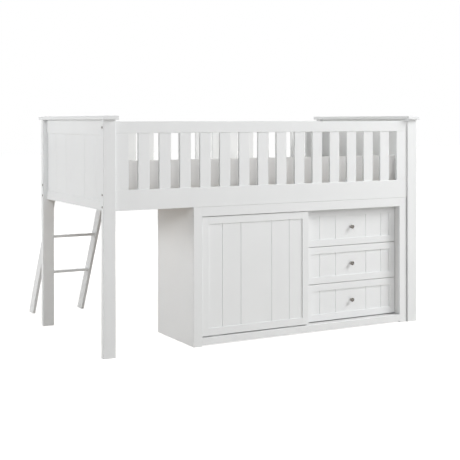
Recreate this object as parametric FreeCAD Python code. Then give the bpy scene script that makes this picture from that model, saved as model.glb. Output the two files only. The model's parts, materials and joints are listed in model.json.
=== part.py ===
import FreeCAD, Part
import math
import os

# Low loft bed: two panelled end frames, a slatted guard on each long side, a leaning ladder at the
# rear left, and a cabinet under the right of the bed with a sliding door and three drawers.
# Millimetres. X runs along the bed, -Y is the cabinet's front, +Z is up. The origin is on the floor,
# under the middle of the whole bed with its ladder.

V = FreeCAD.Vector
LEFT_END, RIGHT_END = -1, 1
FRONT_SIDE, REAR_SIDE = -1, 1

# Mattress, and the room left round it
MATTRESS_LENGTH = 2000.0
MATTRESS_WIDTH = 900.0
MATTRESS_DEPTH = 120.0
MATTRESS_END_ROOM = 4.0
MATTRESS_REAR_ROOM = 11.0
MATTRESS_CORNER = 45.0
MATTRESS_EDGE = 24.0
MATTRESS_CROWN = 6.0
MATTRESS_CROWN_REACH = 260.0
MATTRESS_DRAW = 6.0
MATTRESS_SEAT = 0.3

# Board that stands on the deck behind the front guard and keeps the mattress off the slats
MATTRESS_BOARD_HEIGHT = 168.5
MATTRESS_BOARD_THICK = 12.0
MATTRESS_BOARD_SETBACK = 25.0
MATTRESS_BOARD_ROOM = 2.0
MATTRESS_BOARD_END_ROOM = 1.0
BOARD_SCREW_STEP = 3

# Posts
POST_WIDTH = 70.0
POST_DEPTH = 34.0
POST_HEIGHT = 1258.5
POST_ROUND = 3.0

# End frames: two rails and a grooved panel between each pair of posts, under a cap
END_RAIL_INSET = 25.0
END_RAIL_THICK = 18.0
END_TOP_RAIL_HEIGHT = 83.5
END_BOTTOM_RAIL_HEIGHT = 52.0
END_PANEL_SETBACK = 6.0
END_PANEL_THICK = 10.0
END_GROOVES = (-323.0, -151.0, 151.0, 323.0)
CAP_THICK = 21.0
CAP_END_OVERHANG = 22.0
CAP_SIDE_OVERHANG = 9.0
CAP_UNDER_ROUND = 3.0
CAP_TOP_ROUND = 2.5

# Side rails and slatted guards
UNDER_BED_HEIGHT = 774.0
SIDE_RAIL_INSET = 9.0
SIDE_RAIL_THICK = 22.0
SIDE_RAIL_HEIGHT = 110.0
GUARD_RAIL_HEIGHT = 62.0
GUARD_RAIL_DROP = 10.5
GUARD_STILE_WIDTH = 79.0
GUARD_SLAT_WIDTH = 68.0
GUARD_SLAT_SETBACK = 4.0
GUARD_SLAT_COUNT = 14
ENTRY_SLAT_COUNT = 3
ENTRY_STILE_WIDTH = 53.0
TENON_LENGTH = 12.0
TENON_THICK = 10.0
TENON_SHOULDER = 6.0

# Slatted deck
DECK_DROP = 15.0
LEDGE_HEIGHT = 30.0
LEDGE_DEPTH = 25.0
BED_SLAT_COUNT = 13
BED_SLAT_WIDTH = 70.0
BED_SLAT_THICK = 20.0
BED_SLAT_ROOM = 2.0
BED_SLAT_END_SPACE = 6.0
SCREW_DIAMETER = 4.0
SCREW_HEAD_DIAMETER = 8.0
SCREW_LENGTH = 34.0
SCREW_SINK = 0.5
SCREW_CLEARANCE = 0.1

# Joinery and edges
EASE = 1.5
HOUSING = 8.0
HOUSING_ROOM = 1.0
JOINT_FIT = 0.2
GROOVE_WIDTH = 4.0
GROOVE_DEPTH = 5.0

# Connector bolts through the posts, and the barrel nuts that take them
BOLT_DIAMETER = 6.0
BOLT_CLEARANCE = 0.5
BOLT_HEAD_DIAMETER = 13.0
BOLT_HEAD_HEIGHT = 5.0
BOLT_SOCKET = 5.0
BOLT_SOCKET_DEPTH = 3.0
BOLT_EDGE = 23.0
BOLT_REACH = 44.0
COUNTERBORE_DIAMETER = 15.0
COUNTERBORE_DEPTH = 6.0
NUT_DIAMETER = 10.0
NUT_LENGTH = 14.0
NUT_INSET = 34.0
NUT_CLEARANCE = 0.2

# Ladder
LADDER_POST_ROOM = 2.0
LADDER_GUARD_ROOM = 19.0
LADDER_STILE_THICK = 18.5
LADDER_STILE_DEPTH = 69.5
LADDER_LEAN = 27.25
LADDER_TOP_LENGTH = 24.0
LADDER_CLEARANCE = 0.5
RUNG_FIRST = 279.0
RUNG_STEP = 242.5
RUNG_RAIL_ROOM = 20.0
RUNG_THICK = 17.0
RUNG_MARGIN = 14.0
RUNG_ROUND = 5.0
RUNG_HOUSING = 6.0
HOOK_THICK = 3.0
HOOK_WIDTH = 15.0
HOOK_SEAT = 0.3
HOOK_DECK_ROOM = 3.0

# Cabinet carcass and face frame
CABINET_WIDTH = 1483.0
CABINET_DEPTH = 472.0
CABINET_POST_GAP = 4.0
CABINET_HEADROOM = 0.5
CABINET_SETBACK = 1.0
BOARD_THICK = 16.0
BACK_THICK = 4.0
BACK_REBATE = 8.0
FRAME_THICK = 16.0
FRAME_STILE_WIDTH = 52.0
FRAME_TOP_HEIGHT = 53.0
FRAME_BOTTOM_HEIGHT = 40.0
FRAME_BOTTOM_RAISE = 8.0
SHELF_HEIGHT = 380.0
SHELF_FRONT_ROOM = 6.0
SHELF_ROOM = 0.5
SHELF_PIN_DIAMETER = 5.0
SHELF_PIN_REACH = 8.0
SHELF_PIN_INSET = 60.0

# Sliding door and its tracks
DOOR_SETBACK = 8.0
DOOR_THICK = 20.0
DOOR_SIDE_GAP = 4.0
DOOR_TOP_GAP = 3.0
DOOR_BOTTOM_GAP = 6.0
DOOR_OVERLAP = 12.5
DOOR_FRAME_WIDTH = 42.0
DOOR_PANEL_SETBACK = 6.0
DOOR_PANEL_THICK = 9.0
DOOR_GROOVES = (-221.5, -102.0, 102.0, 221.5)
DOOR_BACK_ROOM = 5.0
TRACK_SLOT = 7.0
TRACK_DEPTH = 9.0
TRACK_WALL = 1.5
TRACK_LIP = 0.5
TRACK_INSET = 2.0
GLIDE_LENGTH = 60.0
GLIDE_INSET = 70.0
GLIDE_CLEARANCE = 0.5
GLIDE_SEAT = 0.3
GUIDE_DEPTH = 11.0
GUIDE_BACK_WALL = 5.5
GUIDE_PIN_REACH = 8.0

# Drawers
DRAWER_NAMES = ("bottom", "middle", "top")
DRAWER_FRONT_WIDTH = 660.0
DRAWER_FRONT_THICK = 18.0
DRAWER_SETBACK = 19.0
DRAWER_GAP = 3.0
DRAWER_FLOOR_GAP = 6.5
DRAWER_FRAME_WIDTH = 40.0
DRAWER_RECESS = 6.0
DRAWER_GROOVES = (-227.5, -113.0, 113.0, 227.5)
DRAWER_BACK_ROOM = 21.0
DRAWER_SIDE_THICK = 14.0
DRAWER_SIDE_HEIGHT = 150.0
DRAWER_SIDE_RAISE = 22.0
DRAWER_BOTTOM_THICK = 6.0
DRAWER_BOTTOM_RAISE = 10.0
DRAWER_BOTTOM_HOUSING = 5.0
RUNNER_HEIGHT = 15.0
RUNNER_GAP = 7.0
RUNNER_BITE = 5.5
RUNNER_CLEARANCE = 0.5
RUNNER_SEAT = 0.3
RUNNER_FRONT_ROOM = 5.0
RUNNER_BACK_ROOM = 6.0
KNOB_DIAMETER = 24.0
KNOB_HEAD_THICK = 9.0
KNOB_NECK_DIAMETER = 9.0
KNOB_FLANGE_DIAMETER = 15.0
KNOB_FLANGE_THICK = 2.5
KNOB_DOOR_ROOM = 3.0
KNOB_DOME = 3.0
KNOB_STUD_DIAMETER = 4.0
KNOB_STUD_LENGTH = 9.0
KNOB_STUD_CLEARANCE = 0.1

# Bed layout worked out from the sizes above
LENGTH = MATTRESS_LENGTH + 2 * (MATTRESS_END_ROOM + END_RAIL_THICK + END_RAIL_INSET)
SIDE_RAIL_BACK = SIDE_RAIL_INSET + SIDE_RAIL_THICK
MATTRESS_BOARD_FRONT = SIDE_RAIL_BACK + MATTRESS_BOARD_SETBACK
MATTRESS_BOARD_BACK = MATTRESS_BOARD_FRONT + MATTRESS_BOARD_THICK
MATTRESS_FRONT = MATTRESS_BOARD_BACK + MATTRESS_BOARD_ROOM
WIDTH = MATTRESS_FRONT + MATTRESS_WIDTH + MATTRESS_REAR_ROOM + SIDE_RAIL_BACK
SIDE_RAIL_TOP = UNDER_BED_HEIGHT + SIDE_RAIL_HEIGHT
GUARD_RAIL_TOP = POST_HEIGHT - GUARD_RAIL_DROP
GUARD_RAIL_BOTTOM = GUARD_RAIL_TOP - GUARD_RAIL_HEIGHT
END_TOP_RAIL_BOTTOM = POST_HEIGHT - END_TOP_RAIL_HEIGHT
END_BOTTOM_RAIL_TOP = UNDER_BED_HEIGHT + END_BOTTOM_RAIL_HEIGHT
END_PANEL_OUT = END_RAIL_INSET + END_PANEL_SETBACK
END_PANEL_IN = END_PANEL_OUT + END_PANEL_THICK
DECK_TOP = SIDE_RAIL_TOP - DECK_DROP
LEDGE_TOP = DECK_TOP - BED_SLAT_THICK
MATTRESS_BOARD_TOP = DECK_TOP + MATTRESS_BOARD_HEIGHT
RAIL_BOLTS = (UNDER_BED_HEIGHT + BOLT_EDGE, SIDE_RAIL_TOP - BOLT_EDGE)
GUARD_BOLT = (GUARD_RAIL_TOP + GUARD_RAIL_BOTTOM) / 2

# Guard layout: even openings between the two end stiles
RAIL_START = -LENGTH / 2 + POST_WIDTH
RAIL_END = LENGTH / 2 - POST_WIDTH
SLAT_SPACE = RAIL_END - RAIL_START - 2 * GUARD_STILE_WIDTH - GUARD_SLAT_COUNT * GUARD_SLAT_WIDTH
GUARD_OPENING = SLAT_SPACE / (GUARD_SLAT_COUNT + 1)
GUARD_PITCH = GUARD_OPENING + GUARD_SLAT_WIDTH
ENTRY_END = RAIL_START + ENTRY_SLAT_COUNT * GUARD_PITCH

# Ladder layout, seen from the end of the bed: run is the outward step for each unit of height
LADDER_RUN = math.tan(math.radians(LADDER_LEAN))
LADDER_FOOT_LENGTH = LADDER_STILE_DEPTH / math.cos(math.radians(LADDER_LEAN))
LADDER_TOP = SIDE_RAIL_TOP + HOOK_SEAT
LADDER_FOOT_OUT = LADDER_TOP_LENGTH - LADDER_FOOT_LENGTH + LADDER_TOP * LADDER_RUN
LADDER_REACH = LADDER_CLEARANCE - SIDE_RAIL_INSET + LADDER_FOOT_OUT + LADDER_FOOT_LENGTH
RUNG_DEPTH = LADDER_FOOT_LENGTH - 2 * RUNG_MARGIN

# As many rungs as leave room between the top one and the rear rail
RUNG_HIGHEST = LADDER_TOP - (RUNG_DEPTH / 2 + RUNG_RAIL_ROOM) / LADDER_RUN
RUNG_COUNT = 1 + int((RUNG_HIGHEST - RUNG_FIRST) / RUNG_STEP)

# The bed's middle line is moved forward so that the origin is under the middle of bed and ladder
BED_Y = (CAP_END_OVERHANG - LADDER_REACH) / 2
MATTRESS_Y = BED_Y - WIDTH / 2 + MATTRESS_FRONT + MATTRESS_WIDTH / 2

# Cabinet layout
CABINET_RIGHT = RAIL_END - CABINET_POST_GAP
CABINET_LEFT = CABINET_RIGHT - CABINET_WIDTH
CABINET_FRONT = BED_Y - WIDTH / 2 + SIDE_RAIL_INSET + CABINET_SETBACK
CABINET_REAR = CABINET_FRONT + CABINET_DEPTH
CABINET_TOP = UNDER_BED_HEIGHT - CABINET_HEADROOM
FRAME_BACK = CABINET_FRONT + FRAME_THICK
OPENING_LEFT = CABINET_LEFT + FRAME_STILE_WIDTH
OPENING_RIGHT = CABINET_RIGHT - FRAME_STILE_WIDTH
OPENING_BOTTOM = FRAME_BOTTOM_RAISE + FRAME_BOTTOM_HEIGHT
OPENING_TOP = CABINET_TOP - FRAME_TOP_HEIGHT
INSIDE_LEFT = CABINET_LEFT + BOARD_THICK
INSIDE_RIGHT = CABINET_RIGHT - BOARD_THICK
INSIDE_REAR = CABINET_REAR - BACK_THICK
INSIDE_TOP = CABINET_TOP - BOARD_THICK
BAY_RIGHT = OPENING_RIGHT
BAY_LEFT = BAY_RIGHT - DRAWER_FRONT_WIDTH - 2 * DRAWER_GAP
DIVIDER_LEFT = BAY_LEFT - BOARD_THICK

# Door layout
DOOR_FRONT = CABINET_FRONT + DOOR_SETBACK
DOOR_BACK = DOOR_FRONT + DOOR_THICK
DOOR_LEFT = OPENING_LEFT + DOOR_SIDE_GAP
DOOR_RIGHT = DIVIDER_LEFT + DOOR_OVERLAP
DOOR_BOTTOM = OPENING_BOTTOM + DOOR_BOTTOM_GAP
DOOR_TOP = OPENING_TOP - DOOR_TOP_GAP
DOOR_PANEL_FRONT = DOOR_FRONT + DOOR_PANEL_SETBACK
DOOR_PANEL_BACK = DOOR_PANEL_FRONT + DOOR_PANEL_THICK
TRACK_FRONT = FRAME_BACK + TRACK_INSET
SLOT_FRONT = TRACK_FRONT + TRACK_WALL
SLOT_BACK = SLOT_FRONT + TRACK_SLOT
TRACK_BACK = SLOT_BACK + TRACK_WALL
TRACK_FLOOR = OPENING_BOTTOM - TRACK_DEPTH
GUIDE_BACK = SLOT_BACK + GUIDE_BACK_WALL
INNER_FRONT = max(DOOR_BACK + DOOR_BACK_ROOM, GUIDE_BACK)

# Drawer layout
DRAWER_FRONT = DOOR_BACK + DRAWER_SETBACK
DRAWER_FRONT_BACK = DRAWER_FRONT + DRAWER_FRONT_THICK
DRAWER_BOX_BACK = INSIDE_REAR - DRAWER_BACK_ROOM
DRAWER_PITCH = (OPENING_TOP - OPENING_BOTTOM - DRAWER_FLOOR_GAP) / len(DRAWER_NAMES)
DRAWER_FRONT_HEIGHT = DRAWER_PITCH - DRAWER_GAP
BOX_LEFT = BAY_LEFT + RUNNER_GAP
BOX_RIGHT = BAY_RIGHT - RUNNER_GAP
DRAWER_MIDDLE_X = (BAY_LEFT + BAY_RIGHT) / 2


def block(x0, x1, y0, y1, z0, z1):
    """Return a plain rectangular solid between two corners."""
    return Part.makeBox(x1 - x0, y1 - y0, z1 - z0, V(x0, y0, z0))


def eased(shape, axis, radius):
    """Round the straight edges of a solid that run along one axis."""
    along = [e for e in shape.Edges if abs(e.tangentAt(e.FirstParameter).dot(axis)) > 0.999]
    return shape.makeFillet(radius, along)


def plank(x0, x1, y0, y1, z0, z1, radius=EASE):
    """Return a rectangular timber with its four long edges rounded."""
    sizes = (x1 - x0, y1 - y0, z1 - z0)
    axis = (V(1, 0, 0), V(0, 1, 0), V(0, 0, 1))[sizes.index(max(sizes))]
    return eased(block(x0, x1, y0, y1, z0, z1), axis, min(radius, 0.4 * min(sizes)))


def rod_x(x0, x1, y, z, diameter):
    """Return a round rod along X."""
    return Part.makeCylinder(diameter / 2, x1 - x0, V(x0, y, z), V(1, 0, 0))


def rod_y(x, y0, y1, z, diameter):
    """Return a round rod along Y."""
    return Part.makeCylinder(diameter / 2, y1 - y0, V(x, y0, z), V(0, 1, 0))


def rod_z(x, y, z0, z1, diameter):
    """Return a round rod along Z."""
    return Part.makeCylinder(diameter / 2, z1 - z0, V(x, y, z0))


def cut_all(shape, tools):
    """Cut a list of tools out of a solid."""
    return shape.cut(Part.makeCompound(tools)) if tools else shape


def group(solids):
    """Put separate solids together in one node."""
    return Part.makeCompound(solids)


def from_end(end, near, far):
    """Return the X range between two distances inwards from an end's outer post face."""
    return sorted((end * (LENGTH / 2 - near), end * (LENGTH / 2 - far)))


def from_side(side, near, far):
    """Return the Y range between two distances inwards from a long side's outer post face."""
    return sorted((BED_Y + side * (WIDTH / 2 - near), BED_Y + side * (WIDTH / 2 - far)))


def v_tool(x, y, z0, z1, reach_x, reach_y):
    """Return an upright bar of diamond section, which cuts a V groove into a face at x, y."""
    corners = [V(x - reach_x, y, z0), V(x, y - reach_y, z0), V(x + reach_x, y, z0), V(x, y + reach_y, z0)]
    face = Part.Face(Part.makePolygon(corners + corners[:1]))
    return face.extrude(V(0, 0, z1 - z0))


# Posts, connector bolts and barrel nuts

def bolt_line(side):
    """Return the Y of the connector bolts of a long side, in the middle of its rails."""
    return sum(from_side(side, SIDE_RAIL_INSET, SIDE_RAIL_BACK)) / 2


def bolt_heights(end, side):
    """Return the heights of a post's bolts: the ladder's corner has no guard rail to hold."""
    at_entry = end == LEFT_END and side == REAR_SIDE
    return RAIL_BOLTS if at_entry else RAIL_BOLTS + (GUARD_BOLT,)


def bolt_bore(end, side, z):
    """Return the stepped hole for one connector bolt, through the post and into the rail's end."""
    y = bolt_line(side)
    counterbore = rod_x(*from_end(end, 0, COUNTERBORE_DEPTH), y, z, COUNTERBORE_DIAMETER)
    reach = POST_WIDTH + BOLT_REACH + BOLT_CLEARANCE
    return counterbore.fuse(rod_x(*from_end(end, 0, reach), y, z, BOLT_DIAMETER + 2 * BOLT_CLEARANCE))


def bolt(end, side, z):
    """Return one connector bolt with a hexagon socket in its head."""
    y = bolt_line(side)
    head_out = COUNTERBORE_DEPTH - BOLT_HEAD_HEIGHT
    head = rod_x(*from_end(end, head_out, COUNTERBORE_DEPTH), y, z, BOLT_HEAD_DIAMETER)
    shank = rod_x(*from_end(end, head_out, POST_WIDTH + BOLT_REACH), y, z, BOLT_DIAMETER)
    start = from_end(end, head_out, head_out)[0]
    radius = BOLT_SOCKET / math.sqrt(3)
    turns = [math.radians(60 * corner) for corner in range(7)]
    hexagon = [V(start, y + radius * math.cos(t), z + radius * math.sin(t)) for t in turns]
    socket = Part.Face(Part.makePolygon(hexagon)).extrude(V(-end * BOLT_SOCKET_DEPTH, 0, 0))
    return head.fuse(shank).removeSplitter().cut(socket)


def nut_place(end, side):
    """Return the X and the Y range of a barrel nut."""
    x = from_end(end, POST_WIDTH + NUT_INSET, POST_WIDTH + NUT_INSET)[0]
    return x, bolt_line(side) - NUT_LENGTH / 2, bolt_line(side) + NUT_LENGTH / 2


def nut_bore(end, side, z):
    """Return the hole from a rail's inner face down to its barrel nut."""
    x, y0, y1 = nut_place(end, side)
    inner = from_side(side, SIDE_RAIL_BACK, SIDE_RAIL_BACK)[0]
    ends = (y0, inner) if side == FRONT_SIDE else (inner, y1)
    return rod_y(x, *ends, z, NUT_DIAMETER + 2 * NUT_CLEARANCE)


def nut(end, side, z):
    """Return one barrel nut with its cross hole."""
    x, y0, y1 = nut_place(end, side)
    hole = rod_x(x - NUT_DIAMETER, x + NUT_DIAMETER, bolt_line(side), z, BOLT_DIAMETER + 2 * SCREW_CLEARANCE)
    return rod_y(x, y0, y1, z, NUT_DIAMETER).cut(hole)


def corners():
    """Return every corner of the bed as its end and its long side."""
    return [(end, side) for end in (LEFT_END, RIGHT_END) for side in (FRONT_SIDE, REAR_SIDE)]


def at_each_bolt(maker):
    """Make one solid at every connector bolt."""
    return group([maker(end, side, z) for end, side in corners() for z in bolt_heights(end, side)])


def post(end, side):
    """Return one post, grooved for its end panel and bored for its bolts."""
    foot = (*from_end(end, 0, POST_WIDTH), *from_side(side, 0, POST_DEPTH))
    shape = plank(*foot, 0, POST_HEIGHT, POST_ROUND)
    across = from_end(end, END_PANEL_OUT - JOINT_FIT, END_PANEL_IN + JOINT_FIT)
    into = from_side(side, POST_DEPTH - HOUSING - JOINT_FIT, POST_DEPTH)
    groove = block(*across, *into, UNDER_BED_HEIGHT, POST_HEIGHT)
    return cut_all(shape, [groove] + [bolt_bore(end, side, z) for z in bolt_heights(end, side)])


# End frames

def end_rail(end, z0, z1, groove_z):
    """Return a cross rail of an end frame, with stub tenons and a groove for the panel."""
    inner = (BED_Y - WIDTH / 2 + POST_DEPTH, BED_Y + WIDTH / 2 - POST_DEPTH)
    body = plank(*from_end(end, END_RAIL_INSET, END_RAIL_INSET + END_RAIL_THICK), *inner, z0, z1)
    tongue = from_end(end, END_PANEL_OUT, END_PANEL_IN)
    tenons = block(*tongue, inner[0] - HOUSING, inner[1] + HOUSING, z0, z1)
    groove_x = from_end(end, END_PANEL_OUT - JOINT_FIT, END_PANEL_IN + JOINT_FIT)
    groove = block(*groove_x, inner[0] - HOUSING, inner[1] + HOUSING, *groove_z)
    return body.fuse(tenons).cut(groove)


def end_rails(end):
    """Return the top and bottom cross rails of an end frame."""
    deep = HOUSING + JOINT_FIT
    upper_groove = (END_TOP_RAIL_BOTTOM, END_TOP_RAIL_BOTTOM + deep)
    lower_groove = (END_BOTTOM_RAIL_TOP - deep, END_BOTTOM_RAIL_TOP)
    upper = end_rail(end, END_TOP_RAIL_BOTTOM, POST_HEIGHT, upper_groove)
    lower = end_rail(end, UNDER_BED_HEIGHT, END_BOTTOM_RAIL_TOP, lower_groove)
    return group([upper, lower])


def end_panel(end):
    """Return the thin panel of an end frame, with V grooves in its outer face."""
    tongue = HOUSING - HOUSING_ROOM
    z0, z1 = END_BOTTOM_RAIL_TOP - tongue, END_TOP_RAIL_BOTTOM + tongue
    y0, y1 = BED_Y - WIDTH / 2 + POST_DEPTH - tongue, BED_Y + WIDTH / 2 - POST_DEPTH + tongue
    panel = block(*from_end(end, END_PANEL_OUT, END_PANEL_IN), y0, y1, z0, z1)
    face = from_end(end, END_PANEL_OUT, END_PANEL_OUT)[0]
    half = GROOVE_WIDTH / 2
    return cut_all(panel, [v_tool(face, BED_Y + y, z0, z1, GROOVE_DEPTH, half) for y in END_GROOVES])


def end_cap(end):
    """Return the cap over an end frame, rounded under its overhang."""
    across = from_end(end, -CAP_SIDE_OVERHANG, POST_WIDTH + CAP_SIDE_OVERHANG)
    half = WIDTH / 2 + CAP_END_OVERHANG
    shape = block(*across, BED_Y - half, BED_Y + half, POST_HEIGHT, POST_HEIGHT + CAP_THICK)
    for height, radius in ((POST_HEIGHT, CAP_UNDER_ROUND), (POST_HEIGHT + CAP_THICK, CAP_TOP_ROUND)):
        rim = [e for e in shape.Edges if all(abs(v.Z - height) < 0.01 for v in e.Vertexes)]
        shape = shape.makeFillet(radius, rim)
    return shape


# Side rails and slatted guards

def tenon(x0, x1, side, z0, z1, fit):
    """Return a tenon of a guard upright, or its mortise when fit is a clearance."""
    middle = bolt_line(side)
    half = TENON_THICK / 2 + fit
    return block(x0 + TENON_SHOULDER - fit, x1 - TENON_SHOULDER + fit, middle - half, middle + half, z0, z1)


def upright(x0, x1, side, setback):
    """Return one upright of a guard, set back from the rails' faces, with a tenon at each end."""
    depth = from_side(side, SIDE_RAIL_INSET + setback, SIDE_RAIL_BACK - setback)
    body = plank(x0, x1, *depth, SIDE_RAIL_TOP, GUARD_RAIL_BOTTOM)
    return body.fuse(tenon(x0, x1, side, SIDE_RAIL_TOP - TENON_LENGTH, GUARD_RAIL_BOTTOM + TENON_LENGTH, 0))


def slat_places(side):
    """Return the X ranges of a guard's slats: the rear guard leaves out those at the ladder."""
    at_rear = side == REAR_SIDE
    stile = ENTRY_STILE_WIDTH if at_rear else GUARD_STILE_WIDTH
    count = GUARD_SLAT_COUNT - ENTRY_SLAT_COUNT if at_rear else GUARD_SLAT_COUNT
    first = guard_start(side) + stile + GUARD_OPENING
    starts = [first + GUARD_PITCH * index for index in range(count)]
    return [(start, start + GUARD_SLAT_WIDTH) for start in starts]


def guard_start(side):
    """Return the X where a guard's upper part starts."""
    return ENTRY_END if side == REAR_SIDE else RAIL_START


def stile_places(side):
    """Return the X ranges of a guard's two end stiles, an opening away from its slats."""
    slats = slat_places(side)
    left = (guard_start(side), slats[0][0] - GUARD_OPENING)
    return [left, (slats[-1][1] + GUARD_OPENING, RAIL_END)]


def uprights(side):
    """Return the slats and the two end stiles of a guard."""
    slats = [upright(x0, x1, side, GUARD_SLAT_SETBACK) for x0, x1 in slat_places(side)]
    return group(slats + [upright(x0, x1, side, 0) for x0, x1 in stile_places(side)])


def side_rail(side):
    """Return the full-length rail of a long side, mortised along its top edge."""
    shape = plank(RAIL_START, RAIL_END, *from_side(side, SIDE_RAIL_INSET, SIDE_RAIL_BACK),
                  UNDER_BED_HEIGHT, SIDE_RAIL_TOP)
    low = SIDE_RAIL_TOP - TENON_LENGTH - JOINT_FIT
    places = slat_places(side) + stile_places(side)
    tools = [tenon(x0, x1, side, low, SIDE_RAIL_TOP, JOINT_FIT) for x0, x1 in places]
    for end in (LEFT_END, RIGHT_END):
        for z in RAIL_BOLTS:
            tools += [bolt_bore(end, side, z), nut_bore(end, side, z)]
    return cut_all(shape, tools)


def guard_rail(side):
    """Return the top rail of a guard, mortised along its lower edge."""
    shape = plank(guard_start(side), RAIL_END, *from_side(side, SIDE_RAIL_INSET, SIDE_RAIL_BACK),
                  GUARD_RAIL_BOTTOM, GUARD_RAIL_TOP)
    high = GUARD_RAIL_BOTTOM + TENON_LENGTH + JOINT_FIT
    places = slat_places(side) + stile_places(side)
    tools = [tenon(x0, x1, side, GUARD_RAIL_BOTTOM, high, JOINT_FIT) for x0, x1 in places]
    for end in (LEFT_END, RIGHT_END):
        if GUARD_BOLT in bolt_heights(end, side):
            tools += [bolt_bore(end, side, GUARD_BOLT), nut_bore(end, side, GUARD_BOLT)]
    return cut_all(shape, tools)


# Slatted deck, mattress board and mattress

def bed_slat_starts():
    """Return the left edges of the bed slats, evenly spaced between the posts."""
    first = RAIL_START + BED_SLAT_END_SPACE
    last = RAIL_END - BED_SLAT_END_SPACE - BED_SLAT_WIDTH
    return [first + (last - first) * index / (BED_SLAT_COUNT - 1) for index in range(BED_SLAT_COUNT)]


def ledge_line(side):
    """Return the Y of the slat screws, along the middle of a ledge."""
    return sum(from_side(side, SIDE_RAIL_BACK, SIDE_RAIL_BACK + LEDGE_DEPTH)) / 2


def screw(x, y, clearance):
    """Return one countersunk slat screw, or its hole when clearance is more than 0."""
    top = DECK_TOP - SCREW_SINK
    slope = (SCREW_HEAD_DIAMETER - SCREW_DIAMETER) / 2
    head = Part.makeCone(SCREW_DIAMETER / 2 + clearance, SCREW_HEAD_DIAMETER / 2 + clearance, slope,
                         V(x, y, top - slope))
    shape = head.fuse(rod_z(x, y, top - SCREW_LENGTH - clearance, top, SCREW_DIAMETER + 2 * clearance))
    if clearance:
        shape = shape.fuse(rod_z(x, y, top, DECK_TOP, SCREW_HEAD_DIAMETER + 2 * clearance))
    return shape


def screws(side, clearance):
    """Return the screws, or their holes, along one ledge."""
    return [screw(start + BED_SLAT_WIDTH / 2, ledge_line(side), clearance) for start in bed_slat_starts()]


def board_screws(clearance):
    """Return the screws, or their holes, up through some of the slats into the mattress board."""
    y = sum(from_side(FRONT_SIDE, MATTRESS_BOARD_FRONT, MATTRESS_BOARD_BACK)) / 2
    middle = V(0, 0, (LEDGE_TOP + DECK_TOP) / 2)
    places = [start + BED_SLAT_WIDTH / 2 for start in bed_slat_starts()[::BOARD_SCREW_STEP]]
    return [screw(x, y, clearance).mirror(middle, V(0, 0, 1)) for x in places]


def ledge(side):
    """Return the ledge along the inside of a side rail, bored for the slat screws."""
    shape = plank(RAIL_START, RAIL_END, *from_side(side, SIDE_RAIL_BACK, SIDE_RAIL_BACK + LEDGE_DEPTH),
                  LEDGE_TOP - LEDGE_HEIGHT, LEDGE_TOP)
    return cut_all(shape, screws(side, SCREW_CLEARANCE))


def bed_slats():
    """Return the slats of the deck."""
    reach = SIDE_RAIL_BACK + BED_SLAT_ROOM
    y0, y1 = BED_Y - WIDTH / 2 + reach, BED_Y + WIDTH / 2 - reach
    slats = []
    for start in bed_slat_starts():
        middle = start + BED_SLAT_WIDTH / 2
        holes = [screw(middle, ledge_line(side), SCREW_CLEARANCE) for side in (FRONT_SIDE, REAR_SIDE)]
        holes += board_screws(SCREW_CLEARANCE)
        slats.append(cut_all(plank(start, start + BED_SLAT_WIDTH, y0, y1, LEDGE_TOP, DECK_TOP), holes))
    return group(slats)


def mattress_board():
    """Return the board between the end frames that keeps the mattress off the front guard."""
    reach = LENGTH / 2 - END_RAIL_INSET - END_RAIL_THICK - MATTRESS_BOARD_END_ROOM
    shape = plank(-reach, reach, *from_side(FRONT_SIDE, MATTRESS_BOARD_FRONT, MATTRESS_BOARD_BACK),
                  DECK_TOP, MATTRESS_BOARD_TOP)
    return cut_all(shape, board_screws(SCREW_CLEARANCE))


def mattress_outline(inset, z):
    """Return the mattress outline at one height: sides drawn in between round corners."""
    half_x, half_y = MATTRESS_LENGTH / 2 - inset, MATTRESS_WIDTH / 2 - inset
    bend = MATTRESS_CORNER * (1 - math.sqrt(0.5))
    run_x, run_y = half_x - MATTRESS_CORNER, half_y - MATTRESS_CORNER
    quarter = [
        (V(run_x, -half_y, z), V(half_x - bend, -half_y + bend, z), V(half_x, -run_y, z)),
        (V(half_x, -run_y, z), V(half_x - MATTRESS_DRAW, 0, z), V(half_x, run_y, z)),
        (V(half_x, run_y, z), V(half_x - bend, half_y - bend, z), V(run_x, half_y, z)),
        (V(run_x, half_y, z), V(0, half_y - MATTRESS_DRAW, z), V(-run_x, half_y, z)),
    ]
    opposite = [tuple(V(-p.x, -p.y, p.z) for p in arc) for arc in quarter]
    wire = Part.Wire([Part.Arc(*arc).toShape() for arc in quarter + opposite])
    wire.translate(V(0, MATTRESS_Y, 0))
    return wire


def mattress():
    """Return the mattress: flat below, rounded at its edges, with a crowned top."""
    bottom = DECK_TOP + MATTRESS_SEAT
    shoulder = bottom + MATTRESS_DEPTH - MATTRESS_CROWN
    steps = 3
    lower, upper, crown = [], [], []
    for step in range(steps + 1):
        turn = math.pi / 2 * step / steps
        near, far = MATTRESS_EDGE * (1 - math.cos(turn)), MATTRESS_EDGE * (1 - math.sin(turn))
        lower.append((far, bottom + near))
        upper.append((near, shoulder - far))
    for step in range(1, steps + 1):
        share = step / steps
        rise = MATTRESS_CROWN * (1 - (1 - share) ** 2)
        crown.append((MATTRESS_EDGE + share * MATTRESS_CROWN_REACH, shoulder + rise))
    return Part.makeLoft([mattress_outline(*place) for place in lower + upper + crown], True, True)


# Ladder

def ladder_y(height, share):
    """Return the Y of a point of the ladder: share 0 is its front edge and 1 its rear edge."""
    rail_face = BED_Y + WIDTH / 2 - SIDE_RAIL_INSET + LADDER_CLEARANCE
    return rail_face + LADDER_FOOT_OUT - height * LADDER_RUN + share * LADDER_FOOT_LENGTH


def ladder_stile_places():
    """Return the X ranges of the two ladder stiles, inside the entry."""
    left = RAIL_START + LADDER_POST_ROOM
    right = ENTRY_END - LADDER_GUARD_ROOM
    return [(left, left + LADDER_STILE_THICK), (right - LADDER_STILE_THICK, right)]


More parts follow.
